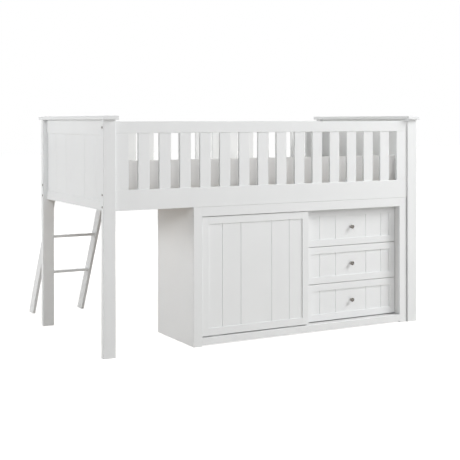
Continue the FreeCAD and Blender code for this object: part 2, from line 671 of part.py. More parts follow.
def rung_heights():
    """Return the middle heights of the rungs."""
    return [RUNG_FIRST + RUNG_STEP * index for index in range(RUNG_COUNT)]


def rung(z, fit, radius):
    """Return one rung, or the housing that it fits when fit is a clearance."""
    places = ladder_stile_places()
    x0, x1 = places[0][1] - RUNG_HOUSING - fit, places[1][0] + RUNG_HOUSING + fit
    middle, half_y, half_z = ladder_y(z, 0.5), RUNG_DEPTH / 2 + fit, RUNG_THICK / 2 + fit
    shape = block(x0, x1, middle - half_y, middle + half_y, z - half_z, z + half_z)
    return eased(shape, V(1, 0, 0), radius)


def ladder_stiles():
    """Return the two stiles: level at the foot, plumb and level where they meet the rear rail."""
    face = BED_Y + WIDTH / 2 - SIDE_RAIL_INSET + LADDER_CLEARANCE
    plumb_low = LADDER_FOOT_OUT / LADDER_RUN
    outline = [(ladder_y(0, 0), 0), (ladder_y(0, 1), 0), (ladder_y(LADDER_TOP, 1), LADDER_TOP),
               (face, LADDER_TOP), (face, plumb_low)]
    stiles = []
    for x0, x1 in ladder_stile_places():
        loop = [V(x0, y, z) for y, z in outline + outline[:1]]
        stile = Part.Face(Part.makePolygon(loop)).extrude(V(x1 - x0, 0, 0))
        long_edges = [e for e in stile.Edges if e.Length > LADDER_TOP / 2]
        stile = stile.makeFillet(EASE, long_edges)
        stiles.append(cut_all(stile, [rung(z, JOINT_FIT, RUNG_ROUND) for z in rung_heights()]))
    return group(stiles)


def ladder_hooks():
    """Return the two flat hooks that carry the ladder on the rear rail."""
    outer = BED_Y + WIDTH / 2 - SIDE_RAIL_INSET
    inner = outer - SIDE_RAIL_THICK - LADDER_CLEARANCE
    tail = outer + LADDER_CLEARANCE + LADDER_TOP_LENGTH
    drop = DECK_DROP - HOOK_DECK_ROOM
    hooks = []
    for x0, x1 in ladder_stile_places():
        spare = (x1 - x0 - HOOK_WIDTH) / 2
        strap = block(x0 + spare, x1 - spare, inner - HOOK_THICK, tail, LADDER_TOP, LADDER_TOP + HOOK_THICK)
        lip = block(x0 + spare, x1 - spare, inner - HOOK_THICK, inner, SIDE_RAIL_TOP - drop, LADDER_TOP)
        hooks.append(strap.fuse(lip).removeSplitter())
    return group(hooks)


# Cabinet carcass and face frame

def cabinet_side(x0, x1, inward):
    """Return a side board of the cabinet, rebated for the back and bored for shelf pins if any."""
    shape = plank(x0, x1, FRAME_BACK, CABINET_REAR, 0, CABINET_TOP)
    inner = x1 if inward > 0 else x0
    rebate_x = sorted((inner, inner - inward * (BACK_REBATE + JOINT_FIT)))
    rebate_z = OPENING_BOTTOM - BOARD_THICK - JOINT_FIT
    return shape.cut(block(*rebate_x, INSIDE_REAR - JOINT_FIT, CABINET_REAR, rebate_z, CABINET_TOP))


def cabinet_back():
    """Return the thin back of the cabinet."""
    return block(INSIDE_LEFT - BACK_REBATE, INSIDE_RIGHT + BACK_REBATE, INSIDE_REAR, CABINET_REAR,
                 OPENING_BOTTOM - BOARD_THICK, CABINET_TOP)


def cabinet_bottom():
    """Return the bottom board, grooved for the door's track."""
    shape = block(INSIDE_LEFT, INSIDE_RIGHT, FRAME_BACK, INSIDE_REAR,
                  OPENING_BOTTOM - BOARD_THICK, OPENING_BOTTOM)
    low = TRACK_FLOOR - TRACK_WALL - JOINT_FIT
    return shape.cut(block(OPENING_LEFT, OPENING_RIGHT, TRACK_FRONT - JOINT_FIT, TRACK_BACK + JOINT_FIT,
                           low, OPENING_BOTTOM))


def upright_board(x0, front):
    """Return an upright board inside the cabinet."""
    return block(x0, x0 + BOARD_THICK, front, INSIDE_REAR, OPENING_BOTTOM, INSIDE_TOP)


def frame_stiles():
    """Return the two stiles of the face frame, which stand on the floor."""
    left = plank(CABINET_LEFT, OPENING_LEFT, CABINET_FRONT, FRAME_BACK, 0, CABINET_TOP)
    right = plank(OPENING_RIGHT, CABINET_RIGHT, CABINET_FRONT, FRAME_BACK, 0, CABINET_TOP)
    return group([left, right])


def frame_rails():
    """Return the top and bottom rails of the face frame."""
    top = plank(OPENING_LEFT, OPENING_RIGHT, CABINET_FRONT, FRAME_BACK, OPENING_TOP, CABINET_TOP)
    low = plank(OPENING_LEFT, OPENING_RIGHT, CABINET_FRONT, FRAME_BACK, FRAME_BOTTOM_RAISE, OPENING_BOTTOM)
    return group([top, low])


def shelf_pins(clearance):
    """Return the four shelf pins, or their holes and room when clearance is more than 0."""
    z = SHELF_HEIGHT - SHELF_PIN_DIAMETER / 2
    reach = SHELF_PIN_REACH + clearance
    front = INNER_FRONT + SHELF_FRONT_ROOM + SHELF_PIN_INSET
    rows = (front, INSIDE_REAR - SHELF_PIN_INSET)
    walls = (INSIDE_LEFT, DIVIDER_LEFT)
    thick = SHELF_PIN_DIAMETER + 2 * clearance
    return [rod_x(x - reach, x + reach, y, z, thick) for x in walls for y in rows]


def shelf():
    """Return the cupboard's shelf, which lies on its pins."""
    return plank(INSIDE_LEFT + SHELF_ROOM, DIVIDER_LEFT - SHELF_ROOM, INNER_FRONT + SHELF_FRONT_ROOM,
                 INSIDE_REAR - SHELF_ROOM, SHELF_HEIGHT, SHELF_HEIGHT + BOARD_THICK)


# Sliding door

def bottom_track():
    """Return the channel that the door's glides run in, let into the bottom board."""
    x0, x1 = OPENING_LEFT + JOINT_FIT, OPENING_RIGHT - JOINT_FIT
    top = OPENING_BOTTOM + TRACK_LIP
    channel = block(x0, x1, TRACK_FRONT, TRACK_BACK, TRACK_FLOOR - TRACK_WALL, top)
    return channel.cut(block(x0, x1, SLOT_FRONT, SLOT_BACK, TRACK_FLOOR, top))


def top_guide():
    """Return the batten under the cabinet's top, slotted for the door's guide pins."""
    batten = block(INSIDE_LEFT, OPENING_RIGHT, FRAME_BACK, GUIDE_BACK, OPENING_TOP, INSIDE_TOP)
    slot = block(INSIDE_LEFT, OPENING_RIGHT, SLOT_FRONT, SLOT_BACK, OPENING_TOP, OPENING_TOP + GUIDE_DEPTH)
    return batten.cut(slot)


def door_panel_space(tongue, fit):
    """Return the door's panel, or the grooves it fits when fit is a clearance."""
    edge = DOOR_FRAME_WIDTH - tongue
    return block(DOOR_LEFT + edge, DOOR_RIGHT - edge, DOOR_PANEL_FRONT - fit, DOOR_PANEL_BACK + fit,
                 DOOR_BOTTOM + edge, DOOR_TOP - edge)


def door_stiles():
    """Return the two stiles of the door, grooved for its panel and for the rails' stub tenons."""
    edge = DOOR_FRAME_WIDTH - HOUSING - JOINT_FIT
    groove = block(DOOR_LEFT + edge, DOOR_RIGHT - edge, DOOR_PANEL_FRONT - JOINT_FIT,
                   DOOR_PANEL_BACK + JOINT_FIT, DOOR_BOTTOM, DOOR_TOP)
    left = plank(DOOR_LEFT, DOOR_LEFT + DOOR_FRAME_WIDTH, DOOR_FRONT, DOOR_BACK, DOOR_BOTTOM, DOOR_TOP)
    right = plank(DOOR_RIGHT - DOOR_FRAME_WIDTH, DOOR_RIGHT, DOOR_FRONT, DOOR_BACK, DOOR_BOTTOM, DOOR_TOP)
    return group([left.cut(groove), right.cut(groove)])


def door_rails():
    """Return the top and bottom rails of the door, with stub tenons."""
    x0, x1 = DOOR_LEFT + DOOR_FRAME_WIDTH, DOOR_RIGHT - DOOR_FRAME_WIDTH
    groove = door_panel_space(HOUSING + JOINT_FIT, JOINT_FIT)
    rails = []
    for z0 in (DOOR_BOTTOM, DOOR_TOP - DOOR_FRAME_WIDTH):
        z1 = z0 + DOOR_FRAME_WIDTH
        body = plank(x0, x1, DOOR_FRONT, DOOR_BACK, z0, z1)
        tenons = block(x0 - HOUSING, x1 + HOUSING, DOOR_PANEL_FRONT, DOOR_PANEL_BACK, z0, z1)
        rails.append(body.fuse(tenons).cut(groove))
    return group(rails)


def door_panel():
    """Return the door's panel, with V grooves in its front."""
    panel = door_panel_space(HOUSING - HOUSING_ROOM, 0)
    middle = (DOOR_LEFT + DOOR_RIGHT) / 2
    half = GROOVE_WIDTH / 2
    return cut_all(panel, [v_tool(middle + x, DOOR_PANEL_FRONT, DOOR_BOTTOM, DOOR_TOP, half, GROOVE_DEPTH)
                           for x in DOOR_GROOVES])


def door_glides():
    """Return the two glides under the door and the two guide pins on top of it."""
    y0, y1 = SLOT_FRONT + GLIDE_CLEARANCE, SLOT_BACK - GLIDE_CLEARANCE
    starts = (DOOR_LEFT + GLIDE_INSET, DOOR_RIGHT - GLIDE_INSET - GLIDE_LENGTH)
    glides = [block(x, x + GLIDE_LENGTH, y0, y1, TRACK_FLOOR + GLIDE_SEAT, DOOR_BOTTOM) for x in starts]
    middle, pin_top = (y0 + y1) / 2, OPENING_TOP + GUIDE_PIN_REACH
    pins = [rod_z(x + GLIDE_LENGTH / 2, middle, DOOR_TOP, pin_top, y1 - y0) for x in starts]
    return group(glides + pins)


# Drawers

def drawer_base(index):
    """Return the lower edge of a drawer's front, counted from the bottom."""
    return OPENING_BOTTOM + DRAWER_FLOOR_GAP + DRAWER_PITCH * index


def side_base(index):
    """Return the lower edge of a drawer's side boards."""
    return drawer_base(index) + DRAWER_SIDE_RAISE


def runner_top(index):
    """Return the top of the runners that carry a drawer, at the middle of its side boards."""
    return side_base(index) + (DRAWER_SIDE_HEIGHT + RUNNER_HEIGHT) / 2


def knob_height(index):
    """Return the height of a drawer's knob."""
    return drawer_base(index) + DRAWER_FRONT_HEIGHT / 2


def drawer_front(index):
    """Return a drawer's front: a raised border round a grooved field, bored for its knob."""
    z0, z1 = drawer_base(index), drawer_base(index) + DRAWER_FRONT_HEIGHT
    x0, x1 = BAY_LEFT + DRAWER_GAP, BAY_RIGHT - DRAWER_GAP
    shape = block(x0, x1, DRAWER_FRONT, DRAWER_FRONT_BACK, z0, z1)
    rim = [e for e in shape.Edges if all(abs(v.Y - DRAWER_FRONT) < 0.01 for v in e.Vertexes)]
    shape = shape.makeFillet(EASE, rim)
    field = DRAWER_FRONT + DRAWER_RECESS
    low, high = z0 + DRAWER_FRAME_WIDTH, z1 - DRAWER_FRAME_WIDTH
    tools = [block(x0 + DRAWER_FRAME_WIDTH, x1 - DRAWER_FRAME_WIDTH, DRAWER_FRONT, field, low, high)]
    half = GROOVE_WIDTH / 2
    tools += [v_tool(DRAWER_MIDDLE_X + x, field, low, high, half, GROOVE_DEPTH) for x in DRAWER_GROOVES]
    stud_end = field + KNOB_STUD_LENGTH + KNOB_STUD_CLEARANCE
    stud_hole = KNOB_STUD_DIAMETER + 2 * KNOB_STUD_CLEARANCE
    tools.append(rod_y(DRAWER_MIDDLE_X, field, stud_end, knob_height(index), stud_hole))
    return cut_all(shape, tools)


def drawer_bottom_space(index, reach, fit):
    """Return a drawer's bottom board, or the groove it slides into when fit is a clearance."""
    z = side_base(index) + DRAWER_BOTTOM_RAISE
    inner = DRAWER_SIDE_THICK - reach
    return block(BOX_LEFT + inner, BOX_RIGHT - inner, DRAWER_FRONT_BACK, DRAWER_BOX_BACK,
                 z - fit, z + DRAWER_BOTTOM_THICK + fit)


def drawer_sides(index):
    """Return a drawer's two side boards, grooved inside for the bottom and outside for the runners."""
    z0, z1 = side_base(index), side_base(index) + DRAWER_SIDE_HEIGHT
    top = runner_top(index) + RUNNER_SEAT
    low = runner_top(index) - RUNNER_HEIGHT - RUNNER_SEAT
    bite = RUNNER_BITE + RUNNER_CLEARANCE
    floor = drawer_bottom_space(index, DRAWER_BOTTOM_HOUSING + JOINT_FIT, JOINT_FIT)
    left = (BOX_LEFT, (BOX_LEFT, BOX_LEFT + bite))
    right = (BOX_RIGHT - DRAWER_SIDE_THICK, (BOX_RIGHT - bite, BOX_RIGHT))
    sides = []
    for x0, groove in (left, right):
        board = block(x0, x0 + DRAWER_SIDE_THICK, DRAWER_FRONT_BACK, DRAWER_BOX_BACK, z0, z1)
        slot = block(*groove, DRAWER_FRONT_BACK, DRAWER_BOX_BACK, low, top)
        sides.append(cut_all(board, [slot, floor]))
    return group(sides)


def drawer_back(index):
    """Return a drawer's back board, which stands on its bottom."""
    low = side_base(index) + DRAWER_BOTTOM_RAISE + DRAWER_BOTTOM_THICK
    return block(BOX_LEFT + DRAWER_SIDE_THICK, BOX_RIGHT - DRAWER_SIDE_THICK,
                 DRAWER_BOX_BACK - DRAWER_SIDE_THICK, DRAWER_BOX_BACK,
                 low, side_base(index) + DRAWER_SIDE_HEIGHT)


def drawer_knob(index):
    """Return a turned knob with a flange, a neck, a domed head and a stud into the drawer's front."""
    base = DRAWER_FRONT + DRAWER_RECESS
    nose = DOOR_BACK + KNOB_DOOR_ROOM
    rim = nose + KNOB_DOME
    head_back = nose + KNOB_HEAD_THICK
    flange = base - KNOB_FLANGE_THICK
    stud, neck = KNOB_STUD_DIAMETER / 2, KNOB_NECK_DIAMETER / 2
    wide, head = KNOB_FLANGE_DIAMETER / 2, KNOB_DIAMETER / 2
    dome_radius = (head ** 2 + KNOB_DOME ** 2) / (2 * KNOB_DOME)
    bulge_r = head / 2
    bulge_y = nose + dome_radius - math.sqrt(dome_radius ** 2 - bulge_r ** 2)
    outline = [(stud, base + KNOB_STUD_LENGTH), (stud, base), (wide, base), (wide, flange),
               (neck, flange - KNOB_FLANGE_THICK), (neck, head_back), (head, rim + KNOB_DOME), (head, rim)]
    points = [V(r, y, 0) for r, y in outline]
    edges = [Part.LineSegment(a, b).toShape() for a, b in zip(points, points[1:])]
    edges.append(Part.Arc(points[-1], V(bulge_r, bulge_y, 0), V(0, nose, 0)).toShape())
    edges.append(Part.LineSegment(V(0, nose, 0), V(0, base + KNOB_STUD_LENGTH, 0)).toShape())
    edges.append(Part.LineSegment(V(0, base + KNOB_STUD_LENGTH, 0), points[0]).toShape())
    knob = Part.Face(Part.Wire(edges)).revolve(V(0, 0, 0), V(0, 1, 0), 360)
    knob.translate(V(DRAWER_MIDDLE_X, 0, knob_height(index)))
    return knob


def runners():
    """Return the wooden runners on both walls of the drawer bay."""
    y0, y1 = DRAWER_FRONT_BACK + RUNNER_FRONT_ROOM, INSIDE_REAR - RUNNER_BACK_ROOM
    width = RUNNER_GAP + RUNNER_BITE
    battens = []
    for index in range(len(DRAWER_NAMES)):
        z0, z1 = runner_top(index) - RUNNER_HEIGHT, runner_top(index)
        battens.append(block(BAY_LEFT, BAY_LEFT + width, y0, y1, z0, z1))
        battens.append(block(BAY_RIGHT - width, BAY_RIGHT, y0, y1, z0, z1))
    return group(battens)


# Every node of the part, by name

def build_nodes():
    """Return every node of the bed by name."""
    nodes = {}
    for end, end_name in ((LEFT_END, "left"), (RIGHT_END, "right")):
        nodes[f"front_{end_name}_post"] = post(end, FRONT_SIDE)
        nodes[f"rear_{end_name}_post"] = post(end, REAR_SIDE)
        nodes[f"{end_name}_end_rails"] = end_rails(end)
        nodes[f"{end_name}_end_panel"] = end_panel(end)
        nodes[f"{end_name}_end_cap"] = end_cap(end)
    for side, side_name in ((FRONT_SIDE, "front"), (REAR_SIDE, "rear")):
        nodes[f"{side_name}_side_rail"] = side_rail(side)
        nodes[f"{side_name}_guard_top_rail"] = guard_rail(side)
        nodes[f"{side_name}_guard_uprights"] = uprights(side)
    nodes["connector_bolts"] = at_each_bolt(bolt)
    nodes["barrel_nuts"] = at_each_bolt(nut)
    nodes["slat_ledges"] = group([ledge(FRONT_SIDE), ledge(REAR_SIDE)])
    nodes["bed_slats"] = bed_slats()
    nodes["slat_screws"] = group(screws(FRONT_SIDE, 0) + screws(REAR_SIDE, 0) + board_screws(0))
    nodes["mattress_board"] = mattress_board()
    nodes["mattress"] = mattress()
    nodes["ladder_stiles"] = ladder_stiles()
    nodes["ladder_rungs"] = group([rung(z, 0, RUNG_ROUND) for z in rung_heights()])
    nodes["ladder_hooks"] = ladder_hooks()
    pin_holes = shelf_pins(SCREW_CLEARANCE)
    nodes["cabinet_left_side"] = cut_all(cabinet_side(CABINET_LEFT, INSIDE_LEFT, 1), pin_holes)
    nodes["cabinet_right_side"] = cabinet_side(INSIDE_RIGHT, CABINET_RIGHT, -1)
    nodes["cabinet_top"] = block(INSIDE_LEFT, INSIDE_RIGHT, FRAME_BACK, INSIDE_REAR,
                                 INSIDE_TOP, CABINET_TOP)
    nodes["cabinet_bottom"] = cabinet_bottom()
    nodes["cabinet_divider"] = cut_all(upright_board(DIVIDER_LEFT, INNER_FRONT), pin_holes)
    nodes["cabinet_runner_panel"] = upright_board(BAY_RIGHT, FRAME_BACK)
    nodes["cabinet_back"] = cabinet_back()
    nodes["face_frame_stiles"] = frame_stiles()
    nodes["face_frame_rails"] = frame_rails()
    nodes["cupboard_shelf"] = shelf()
    nodes["shelf_pins"] = group(shelf_pins(0))
    nodes["door_bottom_track"] = bottom_track()
    nodes["door_top_guide"] = top_guide()
    nodes["drawer_runners"] = runners()
    nodes["door_stiles"] = door_stiles()
    nodes["door_rails"] = door_rails()
    nodes["door_panel"] = door_panel()
    nodes["door_glides"] = door_glides()
    for index, name in enumerate(DRAWER_NAMES):
        nodes[f"{name}_drawer_front"] = drawer_front(index)
        nodes[f"{name}_drawer_sides"] = drawer_sides(index)
        nodes[f"{name}_drawer_back"] = drawer_back(index)
        nodes[f"{name}_drawer_bottom"] = drawer_bottom_space(index, DRAWER_BOTTOM_HOUSING, 0)
        nodes[f"{name}_drawer_knob"] = drawer_knob(index)
    return nodes


def main():
    """Write every node to its own STEP file."""
    os.makedirs("parts", exist_ok=True)
    for name, shape in build_nodes().items():
        shape.exportStep(f"parts/{name}.step")


main()
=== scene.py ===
import json
import math

import bmesh
import bpy
from bpy.props import FloatProperty, FloatVectorProperty, IntProperty, PointerProperty
from bpy.types import NodeSocket, Operator, Panel, PropertyGroup
from mathutils import Matrix, Vector


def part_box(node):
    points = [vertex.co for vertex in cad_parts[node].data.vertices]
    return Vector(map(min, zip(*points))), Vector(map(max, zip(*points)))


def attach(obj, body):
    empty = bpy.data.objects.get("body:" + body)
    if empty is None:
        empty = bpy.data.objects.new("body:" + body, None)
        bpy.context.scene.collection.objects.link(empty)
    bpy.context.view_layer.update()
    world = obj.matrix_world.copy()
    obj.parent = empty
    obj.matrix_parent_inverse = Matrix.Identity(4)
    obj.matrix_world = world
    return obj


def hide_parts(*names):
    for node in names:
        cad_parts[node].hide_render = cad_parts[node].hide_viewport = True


bl_info = {
    "name": "Low Loft Bed",
    "version": (1, 0, 0),
    "blender": (4, 5, 0),
    "location": "View3D > Sidebar > Loft Bed",
    "description": "Finishes a low loft bed: paint, board, softwood, metal, mattress and studio",
    "category": "Object",
}

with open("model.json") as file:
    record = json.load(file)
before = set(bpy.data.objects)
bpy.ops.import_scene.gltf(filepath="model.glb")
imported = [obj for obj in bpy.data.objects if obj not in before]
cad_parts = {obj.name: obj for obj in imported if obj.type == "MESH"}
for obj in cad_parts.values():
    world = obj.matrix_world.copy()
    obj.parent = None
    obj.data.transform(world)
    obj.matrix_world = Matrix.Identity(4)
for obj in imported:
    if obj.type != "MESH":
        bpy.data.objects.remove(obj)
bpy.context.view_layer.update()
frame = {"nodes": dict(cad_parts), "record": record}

# Which way the timber's grain runs in each painted piece; boards have none
GRAIN_ALONG = {
    "x": ("front_side_rail", "rear_side_rail", "front_guard_top_rail", "rear_guard_top_rail",
          "ladder_rungs", "face_frame_rails", "door_rails"),
    "y": ("left_end_rails", "right_end_rails", "left_end_cap", "right_end_cap"),
    "z": ("front_left_post", "front_right_post", "rear_left_post", "rear_right_post",
          "front_guard_uprights", "rear_guard_uprights", "ladder_stiles", "face_frame_stiles",
          "door_stiles"),
}
STRETCH = 0.05
GRAIN_SCALE = {"x": (STRETCH, 1, 1), "y": (1, STRETCH, 1), "z": (1, 1, STRETCH)}
PINE_ALONG = {"x": ("slat_ledges",), "y": ("bed_slats", "drawer_runners")}
KNIT_SCALE = 420.0 / math.tau / 2

# Points of the cover this close in height count as level, and this close to its bottom are held, in metres
LEVEL_WITHIN = 0.0001
HELD_WITHIN = 0.001

# Where each lamp stands, what it faces and how wide it is, in metres
BED_MIDDLE = (0.1, -0.6, 0.7)
LADDER_END = (-1.0, -0.2, 0.85)
LAMPS = {
    "key": ((4.0, -3.2, 3.9), BED_MIDDLE, 2.6),
    "camera_fill": ((-3.4, -6.4, 3.4), BED_MIDDLE, 2.0),
    "front_fill": ((1.4, -6.2, 1.0), BED_MIDDLE, 2.0),
    "end_fill": ((-4.4, 0.0, 1.8), LADDER_END, 1.6),
    "corner_fill": ((-4.4, 2.0, 1.6), LADDER_END, 1.6),
    "top_fill": ((0.0, 1.6, 4.6), (0.0, -0.2, 1.0), 2.4),
    "rear_fill": ((0.0, 4.6, 3.0), (0.0, 0.0, 0.7), 3.0),
}
FLOOR_REACH = 30.0
FLOOR_DROP = 0.0005


def nodes_of(slot):
    """Return the CAD nodes that the record gives one material slot."""
    return [row["node"] for row in frame["record"]["subparts"] if row["material_slot"] == slot]


# Settings that a user would change

def colour(name, description, default):
    """Return a colour setting."""
    return FloatVectorProperty(name=name, description=description, default=default, subtype="COLOR",
                               size=3, min=0, max=1)


def share(name, description, default):
    """Return a setting from 0 to 1."""
    return FloatProperty(name=name, description=description, default=default, subtype="FACTOR",
                         min=0, max=1)


def length(name, description, default):
    """Return a length setting in metres."""
    return FloatProperty(name=name, description=description, default=default, unit="LENGTH", precision=6)


def angle(name, description, default):
    """Return an angle setting."""
    return FloatProperty(name=name, description=description, default=default, subtype="ANGLE")


def number(name, description, default):
    """Return a plain number setting."""
    return FloatProperty(name=name, description=description, default=default)


def power(name, description, default):
    """Return a lamp's power setting in watts."""
    return FloatProperty(name=name, description=description, default=default, unit="POWER", min=0)


class LOFTBED_PG_finishes(PropertyGroup):
    """Colours and surface depths of the hard finishes"""
    paint: colour("Paint", "Satin white paint on timber and board", (0.85, 0.862, 0.87))
    # Painted light: a paler copy of the satin paint that makes the mattress board look more brightly lit
    # than its light makes it
    painted_light_paint: colour("Pale paint", "Paler paint on the mattress board", (0.93, 0.925, 0.915))
    paint_gloss: share("Paint roughness", "Roughness of the satin paint", 0.42)
    peel_depth: length("Orange peel depth", "Height of the sprayed paint's ripple", 0.00003)
    grain_depth: length("Grain depth", "Height of the grain that shows through the paint", 0.00005)
    board: colour("Board", "Matt white facing of the inner boards", (0.83, 0.832, 0.828))
    pine_pale: colour("Pale pine", "Early wood of the bare softwood", (0.74, 0.54, 0.33))
    pine_dark: colour("Dark pine", "Late wood of the bare softwood", (0.53, 0.31, 0.15))
    pine_knot: colour("Pine knots", "Knots of the bare softwood", (0.22, 0.1, 0.045))
    zinc: colour("Zinc", "Zinc-plated steel of the hooks, screws and pins", (0.58, 0.585, 0.6))
    bronze: colour("Bronze", "Dark bronze plating of the connector bolts", (0.075, 0.06, 0.048))
    nickel: colour("Nickel", "Polished dark nickel of the knobs", (0.16, 0.15, 0.14))
    plastic: colour("Track plastic", "White moulded plastic of the door's track", (0.78, 0.78, 0.77))


class LOFTBED_PG_mattress(PropertyGroup):
    """Shape and cloth of the mattress"""
    cloth: colour("Cover", "Knitted mattress cover", (0.92, 0.885, 0.81))
    tuck: length("Tuck", "How much smaller the cover starts, before it swells", 0.007)
    swell: length("Swell", "The most that a point of the cover moves outwards", 0.011)
    corner: length("Corner radius", "Radius of the upright corners", 0.05)
    edge: length("Edge radius", "Radius of the edges round the top and the bottom", 0.024)
    quad: length("Quad size", "Spacing of the cover's mesh", 0.018)
    tape: length("Tape radius", "Radius of the tape sewn where the edges turn", 0.0026)
    pressure: number("Pressure", "Push of the filling on the cover", 4.0)
    steps: IntProperty(name="Steps", description="Frames of the cloth simulation", default=20, min=1)


class LOFTBED_PG_studio(PropertyGroup):
    """Camera, lamps and floor"""
    camera: FloatVectorProperty(name="Camera", description="Where the camera stands", subtype="TRANSLATION",
                                unit="LENGTH", default=(-3.0366, -5.6787, 1.2543))
    turn: angle("Turn", "How far the level camera looks to the right", math.radians(29.06))
    roll: angle("Roll", "How far the camera tips to one side", math.radians(0.06))
    lens: number("Lens", "Focal length in millimetres on a 36 mm sensor", 78.94)
    drop: number("Drop", "Vertical shift of the level camera", -0.2385)
    key: power("Key", "High lamp at the front right", 245.0)
    camera_fill: power("Camera fill", "High lamp over the camera", 128.0)
    front_fill: power("Front fill", "Low lamp in front of the bed", 27.0)
    end_fill: power("End fill", "Lamp facing the ladder's end", 31.0)
    corner_fill: power("Corner fill", "Lamp beyond the ladder's corner", 53.0)
    top_fill: power("Top fill", "Lamp over the mattress", 24.0)
    rear_fill: power("Rear fill", "Lamp behind the bed", 90.0)
    sky: number("Sky", "Strength of the soft light from all round", 0.03)
    floor: colour("Floor", "Plain pale floor", (0.63, 0.612, 0.58))
    floor_lift: number("Floor lift", "Glow that the camera sees on the floor near the bed", 0.8)
    floor_near: length("Near floor", "Where the floor starts to brighten towards the background", 1.8)
    floor_far: length("Far floor", "Where the floor is as white as the background", 4.5)


class LOFTBED_PG_settings(PropertyGroup):
    """All settings of the bed"""
    finishes: PointerProperty(type=LOFTBED_PG_finishes)
    mattress: PointerProperty(type=LOFTBED_PG_mattress)
    studio: PointerProperty(type=LOFTBED_PG_studio)


def settings():
    """Return the scene's settings of the bed."""
    return bpy.context.scene.loft_bed


# Helpers for node trees

def add(tree, kind, inputs=None, **attributes):
    """Add a shader node, set its attributes, and set or link its inputs."""
    made = tree.nodes.new("ShaderNode" + kind)
    for name, value in attributes.items():
        setattr(made, name, value)
    for name, value in (inputs or {}).items():
        if isinstance(value, NodeSocket):
            tree.links.new(value, made.inputs[name])
        else:
            made.inputs[name].default_value = value
    return made


def blank(name):
    """Return a new material, its node tree and its shader."""
    material = bpy.data.materials.new(name)
    material.use_nodes = True
    return material, material.node_tree, material.node_tree.nodes["Principled BSDF"]


def place(tree, scale=(1, 1, 1)):
    """Return the object's own coordinates, scaled along each axis."""
    coords = add(tree, "TexCoord").outputs["Object"]
    return add(tree, "Mapping", {"Vector": coords, "Scale": scale}).outputs[0]


def noise(tree, coords, scale, detail=2.0):
    """Return a soft noise between 0 and 1; scale is in cells per metre."""
    return add(tree, "TexNoise", {"Vector": coords, "Scale": scale, "Detail": detail}).outputs[0]


def spread(tree, value, low, high, from_low=0.3, from_high=0.7):
    """Return a value moved from one range, by default a noise's usual one, to another."""
    ends = {"Value": value, "From Min": from_low, "From Max": from_high, "To Min": low, "To Max": high}
    return add(tree, "MapRange", ends).outputs[0]


def tint(tree, factor, first, second):
    """Return the colour between two colours or colour sockets."""
    made = add(tree, "Mix", {0: factor}, data_type="RGBA")
    for socket, value in ((made.inputs[6], first), (made.inputs[7], second)):
        if isinstance(value, NodeSocket):
            tree.links.new(value, socket)
        else:
            socket.default_value = (*value, 1)
    return made.outputs[2]


def dimmed(base, factor):
    """Return a colour multiplied by a number."""
    return tuple(channel * factor for channel in base)


def emboss(tree, shader, layers):
    """Give the shader a bump from layers of height and depth in metres."""
    normal = None
    for height, depth in layers:
        inputs = {"Height": height, "Distance": depth, "Strength": 1.0}
        if normal:
            inputs["Normal"] = normal
        normal = add(tree, "Bump", inputs).outputs[0]
    tree.links.new(normal, shader.inputs["Normal"])


def finish_nodes(nodes, material):
    """Give CAD nodes a material."""
    for node in nodes:
        frame["nodes"][node].material_slots[0].material = material


# Materials

def satin_paint(name, paint, grain=None):
    """Return satin paint, with the grain of the timber under it showing faintly."""
    looks = settings().finishes
    material, tree, shader = blank(name)
    coords = place(tree)
    mottle = spread(tree, noise(tree, coords, scale=6.0, detail=4.0), low=0.0, high=1.0)
    base = tuple(paint)
    tree.links.new(tint(tree, mottle, dimmed(base, 0.985), base), shader.inputs["Base Color"])
    streaks = noise(tree, coords, scale=38.0, detail=3.0)
    gloss = spread(tree, streaks, low=looks.paint_gloss - 0.05, high=looks.paint_gloss + 0.05)
    tree.links.new(gloss, shader.inputs["Roughness"])
    layers = [(noise(tree, coords, scale=420.0), looks.peel_depth)]
    if grain:
        fibre = noise(tree, place(tree, GRAIN_SCALE[grain]), scale=230.0, detail=5.0)
        ridges = spread(tree, fibre, low=0.0, high=1.0, from_low=0.42, from_high=0.6)
        layers.append((ridges, looks.grain_depth))
    emboss(tree, shader, layers)
    return material


def faced_board(name):
    """Return the matt white facing of the inner boards, with its fine pearl texture."""
    looks = settings().finishes
    material, tree, shader = blank(name)
    coords = place(tree)
    base = tuple(looks.board)
    cloud = spread(tree, noise(tree, coords, scale=9.0, detail=3.0), low=0.0, high=1.0)
    tree.links.new(tint(tree, cloud, dimmed(base, 0.98), base), shader.inputs["Base Color"])
    gloss = spread(tree, noise(tree, coords, scale=60.0), low=0.5, high=0.62)
    tree.links.new(gloss, shader.inputs["Roughness"])
    emboss(tree, shader, [(noise(tree, coords, scale=900.0), 0.00004)])
    return material


